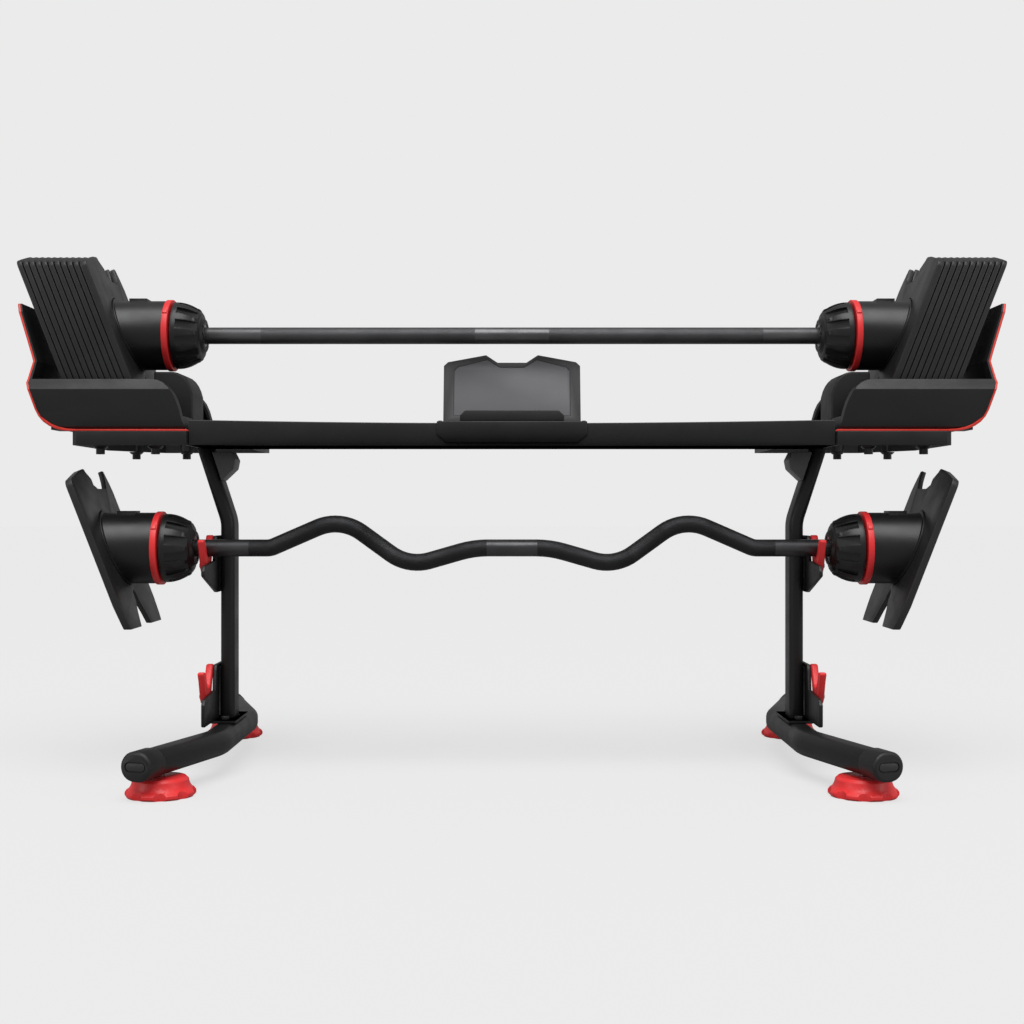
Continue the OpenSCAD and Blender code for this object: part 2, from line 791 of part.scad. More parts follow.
module straight_left_hub() { at_straight_bar() left_side() hub(); }
module straight_right_hub() { at_straight_bar() hub(); }
module straight_left_ring() { at_straight_bar() left_side() ring(); }
module straight_right_ring() { at_straight_bar() ring(); }
module straight_left_dial() { at_straight_bar() left_side() dial(); }
module straight_right_dial() { at_straight_bar() dial(); }
module straight_left_selector() { at_straight_bar() left_side() selector(plates_out + 6); }
module straight_right_selector() { at_straight_bar() selector(plates_out + 6); }

module curl_left_hub() { at_curl_bar() left_side() hub(); }
module curl_right_hub() { at_curl_bar() hub(); }
module curl_left_ring() { at_curl_bar() left_side() ring(); }
module curl_right_ring() { at_curl_bar() ring(); }
module curl_left_dial() { at_curl_bar() left_side() dial(); }
module curl_right_dial() { at_curl_bar() dial(); }
module curl_left_selector() { at_curl_bar() left_side() selector(curl_tip); }
module curl_right_selector() { at_curl_bar() selector(curl_tip); }

// ---------- weight plates ----------

// Face outline of a plate, x to the rear and y up along the plate: two feet
// with a flared gap between them, a front crest, a notch and a rear spike.
// Loose plates have a slot from the notch down to the spindle.
h = plate_half;
foot_level = -plate_drop * cos(plate_tilt) - plate_t * sin(plate_tilt);
foot_past = plate_drop + plate_t * tan(plate_tilt) + 2;
foot_gap = concat(
    [[38, -foot_past], [26, -plate_drop + 21]],
    arc([0, -plate_drop + 46], 14, -20, 200, 8),
    [[-26, -plate_drop + 21], [-38, -foot_past]]
);
plate_front = concat(
    [[-h + 12, -foot_past], [-h + 7, -plate_drop + 10], [-h, -plate_drop + 40]],
    arc([-h + 14, plate_rise - 14], 14, 180, 100, 5),
    [[-h + 46, plate_rise + 9], [-45, plate_rise + 15]],
    curve([-30, plate_rise + 17], [-18, plate_rise + 20], [-slot_half - 1, plate_rise + 13], 4)
);
plate_rear = concat(
    curve([72, plate_rise - 15], [88, plate_rise - 13], [96, plate_rise + 19], 5),
    [[103, plate_rise + 18], [h - 4, plate_rise - 4], [h, plate_rise - 20],
     [h, -plate_drop + 40], [h - 5, -plate_drop + 10], [h - 10, -foot_past]]
);
loose_slot = concat(
    [[-slot_half, plate_rise + 8]],
    arc([0, 0], slot_half, 180, 360, 10),
    [[slot_half, plate_rise - 22], [slot_half + 8, plate_rise - 15]]
);
closed_notch = [[0, plate_rise + 2], [12, plate_rise - 8], [30, plate_rise - 15]];

module plate_face(slotted) {
    polygon(turned(concat(
        plate_front, slotted ? loose_slot : closed_notch, plate_rear, foot_gap)));
}

// Cuts the feet of a plate level
module stood_level() {
    difference() {
        children();
        translate([plate_in - far, -far, foot_level - 100]) cube([2 * far, 2 * far, 100]);
    }
}

module loose_plate_pair(n) {
    color("#2d2d2f") at_straight_bar() both_sides()
        stood_level() on_plate(n, 0, plate_t) plate_face(true);
}

module plate_pair_01() { loose_plate_pair(1); }
module plate_pair_02() { loose_plate_pair(2); }
module plate_pair_03() { loose_plate_pair(3); }
module plate_pair_04() { loose_plate_pair(4); }
module plate_pair_05() { loose_plate_pair(5); }
module plate_pair_06() { loose_plate_pair(6); }
module plate_pair_07() { loose_plate_pair(7); }
module plate_pair_08() { loose_plate_pair(8); }
module plate_pair_09() { loose_plate_pair(9); }
module plate_pair_10() { loose_plate_pair(10); }

// The fixed plate at the hub: closed round the spindle, its front half thicker
module end_plate() {
    cover_t = 3;
    color("#323235") stood_level() difference() {
        union() {
            on_plate(0, 0, plate_t) plate_face(false);
            on_plate(0, -cover_t, cover_t + 1) difference() {
                plate_face(false);
                translate([2, -far]) square(2 * far);
                circle(collar_r + 1.5);
            }
        }
        rod_x(plate_bore_r, plate_in - 40, plate_in + 60);
    }
}

module straight_left_end_plate() { at_straight_bar() left_side() end_plate(); }
module straight_right_end_plate() { at_straight_bar() end_plate(); }
module curl_left_end_plate() { at_curl_bar() left_side() end_plate(); }
module curl_right_end_plate() { at_curl_bar() end_plate(); }

// ---------- media rack ----------

rack_half = rack_w / 2;
// Front view of the panel: sloping shoulders, two peaks and a notch
function panel_outline(side, top, notch) = let (
    right = [
        [rack_half - side, side > 0 ? 12 : 0],
        [rack_half - side, rack_h - 20 - top],
        [rack_half - side - 7, rack_h - 13 - top],
        [45 - notch / 2, rack_h - top],
        [25 - notch, rack_h - 14 - top]
    ]
) concat(right, mirrored(right));

module at_rack_panel() {
    translate([0, rack_panel_y, rack_z + rack_base_t + 4 * rest_gap])
        rotate([-rack_lean, 0, 0]) children();
}

// A folded plate over the crossbeam: top flange, front flange, back stop
module rack_bracket() {
    reach = rack_half + 9;
    front_y = beam_rear - beam_mid_depth - 6;
    front_drop = beam_h - 8;
    color("#343437") {
        translate([-reach, front_y, rack_z + rest_gap])
            cube([2 * reach, beam_rear - 1 - front_y, rack_base_t]);
        along_y(front_y - rack_base_t + 1, front_y + 1) polygon([
            [-reach + 16, rack_z - front_drop], [reach - 16, rack_z - front_drop],
            [reach, rack_z - front_drop + 14], [reach, rack_z + rest_gap + rack_base_t],
            [-reach, rack_z + rest_gap + rack_base_t], [-reach, rack_z - front_drop + 14]
        ]);
    }
}

module rack_panel() {
    color("#4c4c4f") at_rack_panel() difference() {
        along_y(0, rack_panel_t) polygon(panel_outline(0, 0, 0));
        along_y(-1, inset_t + 0.4) polygon(panel_outline(18, 9, 4));
        // trimmed level where it meets the bracket
        rotate([rack_lean, 0, 0]) translate([-rack_w, -far, -far]) cube([2 * rack_w, 2 * far, far]);
    }
}

module rack_inset() {
    color("#68686d") at_rack_panel()
        along_y(0.4, inset_t + 0.2) polygon(shrink(panel_outline(18, 9, 4), rest_gap));
}

// The lip that stops a tablet sliding off, with a floor back to the panel
module rack_lip() {
    half = rack_half * 0.75;
    lip_y = rack_panel_y - rack_gap - rack_lip_t;
    base = rack_z + rack_base_t + 2 * rest_gap;
    color("#2a2a2c") {
        along_y(lip_y, lip_y + rack_lip_t) polygon([
            [-half, base], [half, base], [half, base + rack_lip_h - 9],
            [half - 9, base + rack_lip_h], [-half + 9, base + rack_lip_h],
            [-half, base + rack_lip_h - 9]
        ]);
        translate([-half + 6, lip_y + rack_lip_t - 1, base])
            cube([2 * half - 12, rack_gap + 1 - 2, 3]);
    }
}

left_foot_tube();
right_foot_tube();
foot_end_caps();
levelling_foot_front_left();
levelling_foot_front_right();
levelling_foot_rear_left();
levelling_foot_rear_right();
left_post();
right_post();
top_gussets();
upper_side_plates();
lower_side_plates();
upper_hooks();
lower_hooks();
crossbeam();
left_platform();
right_platform();
platform_bolts();
frame_bolts();
left_tray();
right_tray();
left_tray_trim();
right_tray_trim();
tray_cradles();
rack_bracket();
rack_panel();
rack_inset();
rack_lip();
straight_shaft();
straight_left_hub();
straight_right_hub();
straight_left_ring();
straight_right_ring();
straight_left_dial();
straight_right_dial();
straight_left_selector();
straight_right_selector();
straight_left_end_plate();
straight_right_end_plate();
plate_pair_01();
plate_pair_02();
plate_pair_03();
plate_pair_04();
plate_pair_05();
plate_pair_06();
plate_pair_07();
plate_pair_08();
plate_pair_09();
plate_pair_10();
curl_shaft();
curl_left_hub();
curl_right_hub();
curl_left_ring();
curl_right_ring();
curl_left_dial();
curl_right_dial();
curl_left_selector();
curl_right_selector();
curl_left_end_plate();
curl_right_end_plate();
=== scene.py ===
import json
import math

import bpy
from mathutils import Matrix, Vector


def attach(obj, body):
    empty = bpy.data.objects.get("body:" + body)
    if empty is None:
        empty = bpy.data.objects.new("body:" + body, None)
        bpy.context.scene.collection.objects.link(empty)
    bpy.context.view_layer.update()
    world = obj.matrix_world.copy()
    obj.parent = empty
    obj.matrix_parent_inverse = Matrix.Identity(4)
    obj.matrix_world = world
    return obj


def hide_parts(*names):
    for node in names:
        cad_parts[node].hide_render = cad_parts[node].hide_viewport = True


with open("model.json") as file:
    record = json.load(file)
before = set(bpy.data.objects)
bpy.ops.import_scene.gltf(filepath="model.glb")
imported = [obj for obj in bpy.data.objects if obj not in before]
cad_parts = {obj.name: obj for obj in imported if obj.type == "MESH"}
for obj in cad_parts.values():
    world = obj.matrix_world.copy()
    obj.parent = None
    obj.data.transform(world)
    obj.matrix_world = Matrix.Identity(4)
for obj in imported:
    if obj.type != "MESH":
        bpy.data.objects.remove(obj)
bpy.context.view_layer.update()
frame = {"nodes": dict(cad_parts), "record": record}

# ---- Foot tubes ------------------------------------------------------------
# Two bent steel tubes with a well rounded section, one under each post. They
# are cold bent, welded nuts are set in below, and then powder coated black.

body_of = {
    node: body
    for body, nodes in frame["record"]["behaviour"]["bodies"].items()
    for node in nodes
}


def only(piece):
    """Leaves one piece selected and active, for the operators that follow."""
    bpy.ops.object.select_all(action="DESELECT")
    piece.select_set(True)
    bpy.context.view_layer.objects.active = piece


def as_made(node, name):
    """A copy of a designed part's mesh, joined up and freed of needless edges."""
    piece = bpy.data.objects.new(name, frame["nodes"][node].data.copy())
    bpy.context.scene.collection.objects.link(piece)
    only(piece)
    bpy.ops.object.mode_set(mode="EDIT")
    bpy.ops.mesh.select_all(action="SELECT")
    bpy.ops.mesh.remove_doubles(threshold=1e-5)
    bpy.ops.mesh.dissolve_limited(angle_limit=math.radians(0.6))
    bpy.ops.mesh.select_all(action="DESELECT")
    bpy.ops.object.mode_set(mode="OBJECT")
    return piece


def eased(piece, radius, steps=3, corner=30):
    """Rounds every edge sharper than corner degrees and smooths the rest."""
    only(piece)
    bevel = piece.modifiers.new("eased edges", "BEVEL")
    bevel.width = radius
    bevel.segments = steps
    bevel.limit_method = "ANGLE"
    bevel.angle_limit = math.radians(corner)
    bpy.ops.object.modifier_apply(modifier=bevel.name)
    bpy.ops.object.shade_smooth_by_angle(angle=math.radians(corner))
    return piece


def mounted(piece, finish, slot, *nodes):
    """Gives a piece its finish and hangs it on the body of the parts it stands for."""
    piece.data.materials.clear()
    piece.data.materials.append(finish)
    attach(piece, body_of[nodes[0]])
    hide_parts(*nodes)
    return piece


def new_group(name, inputs, outputs):
    """An empty node group with its sockets, and its two end nodes."""
    tree = bpy.data.node_groups.new(name, "ShaderNodeTree")
    for label, kind, value in inputs:
        socket = tree.interface.new_socket(name=label, in_out="INPUT", socket_type=kind)
        socket.default_value = value
    for label, kind in outputs:
        tree.interface.new_socket(name=label, in_out="OUTPUT", socket_type=kind)
    return tree, tree.nodes.new("NodeGroupInput"), tree.nodes.new("NodeGroupOutput")


def wired(tree, kind, settings=(), values=(), links=()):
    """A node with its settings, its constant inputs and what feeds its other inputs."""
    node = tree.nodes.new(kind)
    for label, value in dict(settings).items():
        setattr(node, label, value)
    for label, value in dict(values).items():
        node.inputs[label].default_value = value
    for label, source in dict(links).items():
        tree.links.new(source, node.inputs[label])
    return node


FLOAT, COLOUR, VECTOR = "NodeSocketFloat", "NodeSocketColor", "NodeSocketVector"

# slow drift from one value to another across the surface
drift_group, start, end = new_group(
    "slow drift",
    [("Where", VECTOR, (0, 0, 0)), ("Scale", FLOAT, 6.0), ("From", FLOAT, 0.0), ("To", FLOAT, 1.0)],
    [("Value", FLOAT)],
)
cloud = wired(
    drift_group, "ShaderNodeTexNoise", values={"Detail": 4.0, "Roughness": 0.55},
    links={"Vector": start.outputs["Where"], "Scale": start.outputs["Scale"]},
)
spread = wired(
    drift_group, "ShaderNodeMapRange", values={"From Min": 0.32, "From Max": 0.68},
    links={
        "Value": cloud.outputs["Fac"],
        "To Min": start.outputs["From"],
        "To Max": start.outputs["To"],
    },
)
drift_group.links.new(spread.outputs["Result"], end.inputs["Value"])

# pale rubbed edges, broken up so that no edge is worn evenly
edge_group, start, end = new_group(
    "rubbed edges",
    [("Where", VECTOR, (0, 0, 0)), ("Width", FLOAT, 0.0012), ("Amount", FLOAT, 0.4)],
    [("Mask", FLOAT)],
)
round_normal = wired(
    edge_group, "ShaderNodeBevel", settings={"samples": 4}, links={"Radius": start.outputs["Width"]}
)
surface = edge_group.nodes.new("ShaderNodeNewGeometry")
turn = wired(
    edge_group, "ShaderNodeVectorMath", settings={"operation": "DOT_PRODUCT"},
    links={0: round_normal.outputs["Normal"], 1: surface.outputs["Normal"]},
)
sharp = wired(
    edge_group, "ShaderNodeMapRange",
    values={"From Min": 0.985, "From Max": 0.86, "To Min": 0.0, "To Max": 1.0},
    links={"Value": turn.outputs["Value"]},
)
scuffs = wired(
    edge_group, "ShaderNodeTexNoise", values={"Scale": 70.0, "Detail": 6.0, "Roughness": 0.6},
    links={"Vector": start.outputs["Where"]},
)
patches = wired(
    edge_group, "ShaderNodeMapRange", values={"From Min": 0.42, "From Max": 0.62},
    links={"Value": scuffs.outputs["Fac"]},
)
rubbed = wired(
    edge_group, "ShaderNodeMath", settings={"operation": "MULTIPLY"},
    links={0: sharp.outputs["Result"], 1: patches.outputs["Result"]},
)
share = wired(
    edge_group, "ShaderNodeMath", settings={"operation": "MULTIPLY", "use_clamp": True},
    links={0: rubbed.outputs["Value"], 1: start.outputs["Amount"]},
)
edge_group.links.new(share.outputs["Value"], end.inputs["Mask"])

# pebbled skin: orange peel when coarse, a spark-eroded mould grain when fine
grain_group, start, end = new_group(
    "pebbled skin",
    [("Where", VECTOR, (0, 0, 0)), ("Scale", FLOAT, 900.0), ("Waviness", FLOAT, 0.4)],
    [("Height", FLOAT)],
)
pebbles = wired(
    grain_group, "ShaderNodeTexVoronoi", settings={"feature": "SMOOTH_F1"},
    values={"Smoothness": 0.6},
    links={"Vector": start.outputs["Where"], "Scale": start.outputs["Scale"]},
)
coarser = wired(
    grain_group, "ShaderNodeMath", settings={"operation": "MULTIPLY"}, values={1: 0.22},
    links={0: start.outputs["Scale"]},
)
waves = wired(
    grain_group, "ShaderNodeTexNoise", values={"Detail": 3.0},
    links={"Vector": start.outputs["Where"], "Scale": coarser.outputs["Value"]},
)
skin = wired(
    grain_group, "ShaderNodeMix", settings={"data_type": "FLOAT"},
    links={
        "Factor": start.outputs["Waviness"],
        "A": pebbles.outputs["Distance"],
        "B": waves.outputs["Fac"],
    },
)
grain_group.links.new(skin.outputs["Result"], end.inputs["Height"])


def coated(name, colour, pale, gloss, grain, wear, metallic=0.0, coat=0.0):
    """A painted or moulded finish.

    colour and pale are what its colour drifts between, gloss its lowest and
    highest roughness, grain the skin's (scale, waviness, depth in metres) and
    wear the rubbed edges' (width, amount, colour)."""
    finish = bpy.data.materials.new(name)
    finish.use_nodes = True
    tree = finish.node_tree
    shader = tree.nodes["Principled BSDF"]
    shader.inputs["Metallic"].default_value = metallic
    shader.inputs["Coat Weight"].default_value = coat
    shader.inputs["Coat Roughness"].default_value = 0.35
    where = tree.nodes.new("ShaderNodeTexCoord").outputs["Object"]

    def placed(group, **values):
        node = wired(tree, "ShaderNodeGroup", settings={"node_tree": group}, values=values)
        tree.links.new(where, node.inputs["Where"])
        return node

    tint = placed(drift_group, Scale=5.0)
    mottled = wired(
        tree, "ShaderNodeMix", settings={"data_type": "RGBA"},
        links={"Factor": tint.outputs["Value"]},
    )
    mottled.inputs[6].default_value = (*colour, 1)
    mottled.inputs[7].default_value = (*pale, 1)
    rubbed = placed(edge_group, Width=wear[0], Amount=wear[1])
    edged = wired(
        tree, "ShaderNodeMix", settings={"data_type": "RGBA"},
        links={"Factor": rubbed.outputs["Mask"]},
    )
    tree.links.new(mottled.outputs[2], edged.inputs[6])
    edged.inputs[7].default_value = (*wear[2], 1)
    tree.links.new(edged.outputs[2], shader.inputs["Base Color"])
    sheen = placed(drift_group, Scale=22.0, From=gloss[0], To=gloss[1])
    tree.links.new(sheen.outputs["Value"], shader.inputs["Roughness"])
    skin = placed(grain_group, Scale=grain[0], Waviness=grain[1])
    bump = wired(
        tree, "ShaderNodeBump", values={"Strength": 1.0, "Distance": grain[2]},
        links={"Height": skin.outputs["Height"]},
    )
    tree.links.new(bump.outputs["Normal"], shader.inputs["Normal"])
    return finish


black_coat = coated(
    "black powder coat", (0.0055, 0.0055, 0.0058), (0.0075, 0.0075, 0.0080), (0.38, 0.48),
    (1400.0, 0.7, 0.00012), (0.0016, 0.35, (0.09, 0.09, 0.095)),
)


def rounded_blank(name, at, size, corner, tilt):
    """A flat rounded rectangle, the cross-section that a tube is drawn from."""
    bpy.ops.object.select_all(action="DESELECT")
    bpy.ops.mesh.primitive_plane_add(size=1, location=at, rotation=tilt)
    piece = bpy.context.active_object
    piece.name = name
    piece.scale = (*size, 1)
    bpy.ops.object.transform_apply(location=True, rotation=True, scale=True)
    bpy.ops.object.mode_set(mode="EDIT")
    bpy.ops.mesh.select_all(action="SELECT")
    bpy.ops.mesh.bevel(offset=corner, segments=8, affect="VERTICES")
    bpy.ops.mesh.select_all(action="SELECT")
    return piece


def run_on(by):
    """Draws the selected end straight on by a vector."""
    bpy.ops.mesh.extrude_region_move(TRANSFORM_OT_translate={"value": by})


def bend_on(angle, axis, centre, steps=9):
    """Draws the selected end round a bend, by the right-hand rule about the axis."""
    bpy.ops.mesh.spin(steps=steps, angle=-angle, axis=axis, center=centre)


def select_faces(piece, chosen):
    """Selects the faces whose middle and normal pass a test, and enters edit mode."""
    bpy.ops.object.mode_set(mode="OBJECT")
    for part in (*piece.data.vertices, *piece.data.edges):
        part.select = False
    for face in piece.data.polygons:
        face.select = bool(chosen(face.center, face.normal))
    bpy.ops.object.mode_set(mode="EDIT")
    bpy.ops.mesh.select_mode(type="FACE")


def drawn(piece, soften=0.0012):
    """Ends a drawn tube: turns its faces outwards and eases its cut ends."""
    bpy.ops.object.mode_set(mode="EDIT")
    bpy.ops.mesh.select_all(action="SELECT")
    bpy.ops.mesh.normals_make_consistent(inside=False)
    bpy.ops.object.mode_set(mode="OBJECT")
    return eased(piece, soften, 2, 50)


FOOT_X = 0.482
FOOT_Z = 0.054
FOOT_SIZE = (0.046, 0.040)
FOOT_CORNER = 0.0155
FOOT_HALF_RUN = 0.111
FOOT_BEND_R = 0.120
FOOT_BEND = math.radians(18)
FOOT_END_RUN = 0.2068

foot = rounded_blank(
    "foot_tube_right", (FOOT_X, 0, FOOT_Z), FOOT_SIZE, FOOT_CORNER, (math.pi / 2, 0, 0)
)
run_on((0, -FOOT_HALF_RUN, 0))
bend_on(FOOT_BEND, (0, 0, 1), (FOOT_X + FOOT_BEND_R, -FOOT_HALF_RUN, FOOT_Z))
run_on((math.sin(FOOT_BEND) * FOOT_END_RUN, -math.cos(FOOT_BEND) * FOOT_END_RUN, 0))
select_faces(foot, lambda at, facing: abs(at.y) < 1e-6)
bpy.ops.mesh.delete(type="ONLY_FACE")
bpy.ops.object.mode_set(mode="OBJECT")
halves = foot.modifiers.new("rear half", "MIRROR")
halves.use_axis = (False, True, False)
halves.merge_threshold = 1e-5
bpy.ops.object.modifier_apply(modifier=halves.name)
drawn(foot)


def other_side(piece, name):
    """The mirror image of a right-hand piece, with its own mesh."""
    twin = bpy.data.objects.new(name, piece.data.copy())
    bpy.context.scene.collection.objects.link(twin)
    twin.data.transform(Matrix.Scale(-1, 4, (1, 0, 0)))
    twin.data.flip_normals()
    return twin


left_foot = other_side(foot, "foot_tube_left")
mounted(foot, black_coat, "frame_paint", "right_foot_tube")
mounted(left_foot, black_coat, "frame_paint", "left_foot_tube")

# ---- Foot end caps ---------------------------------------------------------
# Four nylon caps pushed over the ends of the foot tubes, nearly round in
# section, each with a grey oblong panel set into a recess in its end face.

cap_nylon = coated(
    "cap nylon", (0.0065, 0.0065, 0.0068), (0.0095, 0.0095, 0.010), (0.42, 0.55),
    (2200.0, 0.3, 0.00008), (0.0012, 0.3, (0.07, 0.07, 0.075)),
)
cap_grey = coated(
    "cap panel grey", (0.020, 0.020, 0.021), (0.026, 0.026, 0.027), (0.40, 0.50),
    (2200.0, 0.3, 0.00008), (0.0010, 0.3, (0.10, 0.10, 0.105)),
)
along_end = Vector((math.sin(FOOT_BEND), -math.cos(FOOT_BEND), 0))
tube_end = FOOT_END_RUN * along_end + Vector((
    FOOT_X + FOOT_BEND_R * (1 - math.cos(FOOT_BEND)),
    -FOOT_HALF_RUN - FOOT_BEND_R * math.sin(FOOT_BEND),
    FOOT_Z,
))
CAP_OVER = 0.036
CAP_PAST = 0.010
CAP_SIZE = (0.0515, 0.0455)
RECESS = 0.002
RECESS_SIZE = (0.035, 0.0155)
PANEL_SIZE = (0.032, 0.012)
PANEL_SUNK = 0.0004


def oblong(name, start, stop, size):
    """A bar of oblong section, from start to stop beyond the front right tube's end."""
    nearly_half = 0.49 * size[1]
    piece = rounded_blank(
        name, tube_end + start * along_end, size, nearly_half, (math.pi / 2, 0, FOOT_BEND)
    )
    run_on((stop - start) * along_end)
    bpy.ops.object.mode_set(mode="OBJECT")
    return piece


cap = drawn(oblong("foot_caps_right", -CAP_OVER, CAP_PAST, CAP_SIZE), 0.005)
hollow = oblong("recess", CAP_PAST - RECESS, CAP_PAST + RECESS, RECESS_SIZE)
carved = cap.modifiers.new("recess", "BOOLEAN")
carved.object = hollow
only(cap)
bpy.ops.object.modifier_apply(modifier=carved.name)
bpy.data.objects.remove(hollow)
flat_ends = cap.modifiers.new("flat ends", "WEIGHTED_NORMAL")
flat_ends.keep_sharp = True
bpy.ops.object.modifier_apply(modifier=flat_ends.name)
panel = drawn(
    oblong("cap_panels_right", CAP_PAST - 2 * RECESS, CAP_PAST - PANEL_SUNK, PANEL_SIZE), 0.0006
)
for piece, finish in ((cap, cap_nylon), (panel, cap_grey)):
    both_ends = piece.modifiers.new("rear end", "MIRROR")
    both_ends.use_axis = (False, True, False)
    only(piece)
    bpy.ops.object.modifier_apply(modifier=both_ends.name)
    twin = other_side(piece, piece.name.replace("right", "left"))
    for part in (piece, twin):
        mounted(part, finish, "cap_plastic", "foot_end_caps")

# ---- Levelling feet --------------------------------------------------------
# Red moulded pads with finger scallops, each on a plated stud that is screwed
# into the nut under the foot tube and turned by hand to level the stand.

red_nylon = coated(
    "red nylon", (0.86, 0.030, 0.034), (0.92, 0.040, 0.042), (0.34, 0.46),
    (1800.0, 0.4, 0.00008), (0.0010, 0.35, (0.86, 0.16, 0.15)),
)
plated = coated(
    "zinc plate", (0.34, 0.34, 0.35), (0.44, 0.44, 0.45), (0.26, 0.40),
    (3000.0, 0.6, 0.00003), (0.0006, 0.3, (0.65, 0.65, 0.66)), metallic=1.0,
)


def cut_at(piece, height, keep_above):
    """Cuts a piece level and closes the cut."""
    only(piece)
    bpy.ops.object.mode_set(mode="EDIT")
    bpy.ops.mesh.select_all(action="SELECT")
    bpy.ops.mesh.bisect(
        plane_co=(0, 0, height), plane_no=(0, 0, 1), use_fill=True,
        clear_inner=keep_above, clear_outer=not keep_above,
    )
    bpy.ops.object.mode_set(mode="OBJECT")
    return piece


# just above the pad's flat top, so that only the stud is above the cut
PAD_TOP = 0.0291
for corner in ("front_left", "front_right", "rear_left", "rear_right"):
    node = "levelling_foot_" + corner
    pad = cut_at(as_made(node, "levelling_pad_" + corner), PAD_TOP, False)
    eased(pad, 0.0018, 3, 28)
    mounted(pad, red_nylon, "red_plastic", node)
    stud = cut_at(as_made(node, "levelling_stud_" + corner), PAD_TOP, True)
    eased(stud, 0.0008, 2, 40)
    mounted(stud, plated, "selector_steel", node)

# ---- Posts and gussets -----------------------------------------------------
# Two rectangular steel tubes, bent where they lean outwards, each welded to a
# flange on its foot tube and braced by a grey gusset under the crossbeam.

# the gussets' grey paint, also used on the platforms' undersides as painted light bounced from the
# floor
grey_coat_and_painted_underlight = coated(
    "grey powder coat", (0.085, 0.085, 0.088), (0.105, 0.105, 0.108), (0.38, 0.48),
    (1400.0, 0.7, 0.00012), (0.0016, 0.4, (0.3, 0.3, 0.31)),
)
POST_X = 0.485
POST_FOOT_Z = 0.0792
POST_TOP_Z = 0.538375
POST_BEND_Z = 0.403288
POST_BEND_R = 0.070
POST_LEAN = math.radians(18)
POST_SIZE = (0.024, 0.050)
POST_CORNER = 0.0095
POST_SPARE = 0.15

post = rounded_blank("post_right", (POST_X, 0, POST_FOOT_Z), POST_SIZE, POST_CORNER, (0, 0, 0))
run_on((0, 0, POST_BEND_Z - POST_FOOT_Z))
bend_on(POST_LEAN, (0, 1, 0), (POST_X + POST_BEND_R, 0, POST_BEND_Z))
run_on((math.sin(POST_LEAN) * POST_SPARE, 0, math.cos(POST_LEAN) * POST_SPARE))
bpy.ops.object.mode_set(mode="OBJECT")
cut_at(post, POST_TOP_Z, False)
drawn(post, 0.0008)
left_post = other_side(post, "post_left")
for side, tube in (("left", left_post), ("right", post)):
    mounted(tube, black_coat, "frame_paint", side + "_post")
    flange = cut_at(as_made(side + "_post", "post_flange_" + side), POST_FOOT_Z, False)
    mounted(eased(flange, 0.0012, 2), black_coat, "frame_paint", side + "_post")
gussets = eased(as_made("top_gussets", "gussets"), 0.0015, 3)
mounted(gussets, grey_coat_and_painted_underlight, "grey_paint", "top_gussets")

# ---- Side plates and hooks -------------------------------------------------
# Laser-cut plates bolted to the posts, each backed with a packing strip. The
# red hooks are cut plates in a thick soft coating that spares the bar.

for level in ("upper", "lower"):
    plates = eased(as_made(level + "_side_plates", "side_plates_" + level), 0.001, 2)
    mounted(plates, black_coat, "frame_paint", level + "_side_plates")

red_coat = coated(
    "red soft coat", (0.86, 0.030, 0.034), (0.92, 0.040, 0.042), (0.36, 0.48),
    (1600.0, 0.5, 0.0001), (0.0012, 0.3, (0.85, 0.15, 0.14)),
)
for level in ("upper", "lower"):
    hooks = eased(as_made(level + "_hooks", "hooks_" + level), 0.002, 3)
    mounted(hooks, red_coat, "red_paint", level + "_hooks")

# ---- Crossbeam and platforms -----------------------------------------------
# Folded sheet steel: a channel whose front is curved in plan between the two
# posts, and at each end a platform with folded edges that carries a tray.

beam = eased(as_made("crossbeam", "crossbeam_channel"), 0.002, 3)
mounted(beam, black_coat, "frame_paint", "crossbeam")
for side in ("left", "right"):
    platform = eased(as_made(side + "_platform", "platform_" + side), 0.0018, 3)
    mounted(platform, black_coat, "frame_paint", side + "_platform")
    # painted light: the underside and the inside of the rear fold are given the grey coat so that
    # they look lit by light bounced up from the pale floor
    platform.data.materials.append(grey_coat_and_painted_underlight)
    for face in platform.data.polygons:
        inside_rear_fold = face.normal.y < -0.9 and face.center.y > 0.1
        if face.normal.z < -0.9 or inside_rear_fold:
            face.material_index = 1

# ---- Bolts -----------------------------------------------------------------
# Hexagon bolts with flanged washers under the platforms, and black plated
# screws through the side plates, hooks, post flanges and rack bracket.

black_bolt = coated(
    "black plated bolt", (0.03, 0.03, 0.031), (0.05, 0.05, 0.052), (0.28, 0.42),
    (2600.0, 0.6, 0.00004), (0.0006, 0.5, (0.30, 0.30, 0.31)), metallic=0.7,
)
tray_bolts = eased(as_made("platform_bolts", "tray_bolts"), 0.0007, 2)
mounted(tray_bolts, black_bolt, "black_steel", "platform_bolts")
screws = eased(as_made("frame_bolts", "frame_screws"), 0.0006, 2)
mounted(screws, black_bolt, "bolt_steel", "frame_bolts")

# ---- Trays, trims and cradles ----------------------------------------------
# Injection-moulded tubs that the plates stand in. A red trim strip is clipped
# along the underside and up the outer wall, and a block under each hub guides
# the bar home.

tray_skin = coated(
    "tray moulding", (0.0060, 0.0060, 0.0062), (0.0085, 0.0085, 0.0088), (0.44, 0.56),
    (1500.0, 0.25, 0.00014), (0.0018, 0.3, (0.07, 0.07, 0.075)),
)
trim_red = coated(
    "trim red", (0.80, 0.045, 0.030), (0.86, 0.060, 0.040), (0.32, 0.44),
    (1800.0, 0.4, 0.00008), (0.0010, 0.3, (0.85, 0.15, 0.13)),
)
for side in ("left", "right"):
    tray = eased(as_made(side + "_tray", "tray_" + side), 0.0034, 4, 18)
    mounted(tray, tray_skin, "tray_plastic", side + "_tray")
    trim = eased(as_made(side + "_tray_trim", "tray_trim_" + side), 0.0006, 2)
    mounted(trim, trim_red, "red_plastic", side + "_tray_trim")
cradles = eased(as_made("tray_cradles", "cradles"), 0.003, 4)
mounted(cradles, tray_skin, "tray_plastic", "tray_cradles")

